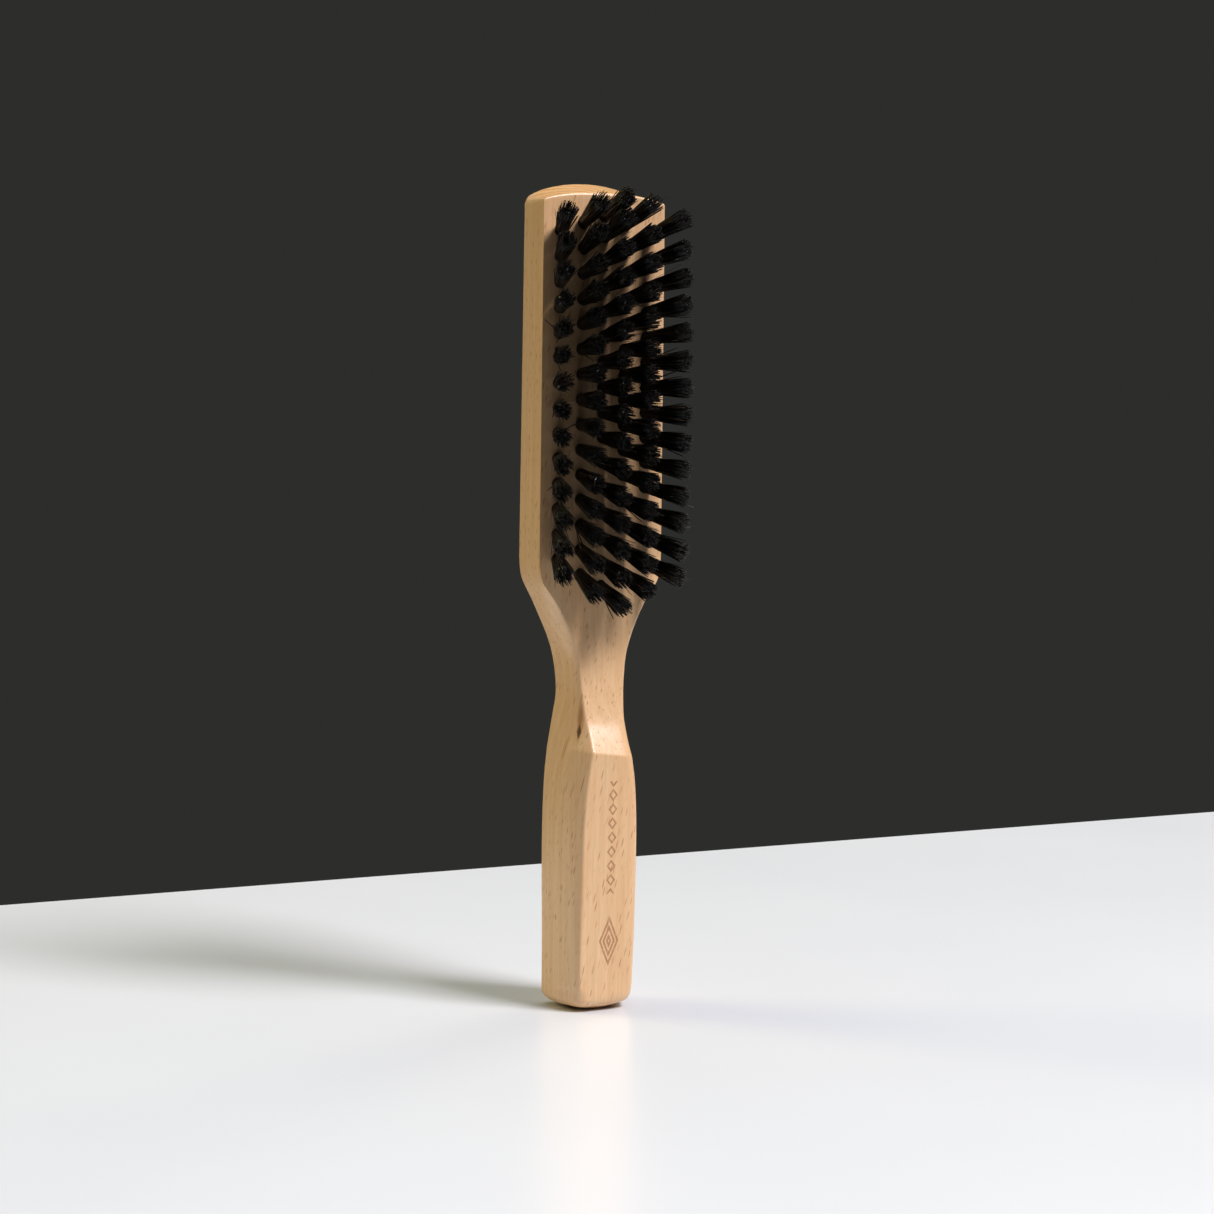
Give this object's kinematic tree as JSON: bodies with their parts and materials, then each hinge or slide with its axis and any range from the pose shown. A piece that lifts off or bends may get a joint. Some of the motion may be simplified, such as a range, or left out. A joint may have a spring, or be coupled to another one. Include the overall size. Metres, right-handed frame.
{
  "type": "beard brush",
  "caption": "Wooden grooming brush with a narrow rectangular head of black bristle tufts that fan outwards, a waisted neck and a thicker faceted handle.",
  "frame": {"origin": "centre of the small flat on the butt of the handle, on which the brush stands", "axes": "+Z along the brush from the butt to the head, -Y out of the bristle face, +X across the head"},
  "size_m": [0.0344, 0.0219, 0.18],
  "materials": {
    "beech": "satin oiled beech",
    "bristle": "natural black boar bristle",
    "anchor_wire": "bright flat wire"
  },
  "bodies": {
    "root": {"stock": "beech", "tuft_row_01": "bristle", "tuft_row_02": "bristle", "tuft_row_03": "bristle", "tuft_row_04": "bristle", "tuft_row_05": "bristle", "tuft_row_06": "bristle", "tuft_row_07": "bristle", "tuft_row_08": "bristle", "tuft_row_09": "bristle", "tuft_row_10": "bristle", "tuft_row_11": "bristle", "tuft_row_12": "bristle", "tuft_row_13": "bristle", "tuft_row_14": "bristle", "tuft_row_15": "bristle", "tuft_row_16": "bristle", "tuft_row_17": "bristle", "tuft_row_18": "bristle", "tuft_row_19": "bristle", "tuft_row_20": "bristle", "tuft_row_21": "bristle", "tuft_row_22": "bristle", "tuft_row_23": "bristle", "tuft_row_24": "bristle", "tuft_row_25": "bristle", "tuft_row_26": "bristle", "tuft_row_27": "bristle", "tuft_row_28": "bristle", "tuft_row_29": "bristle", "tuft_row_30": "bristle", "tuft_row_31": "bristle", "anchors_column_1": "anchor_wire", "anchors_column_2": "anchor_wire", "anchors_column_3": "anchor_wire", "anchors_column_4": "anchor_wire", "anchors_column_5": "anchor_wire"}
  },
  "joints": []
}
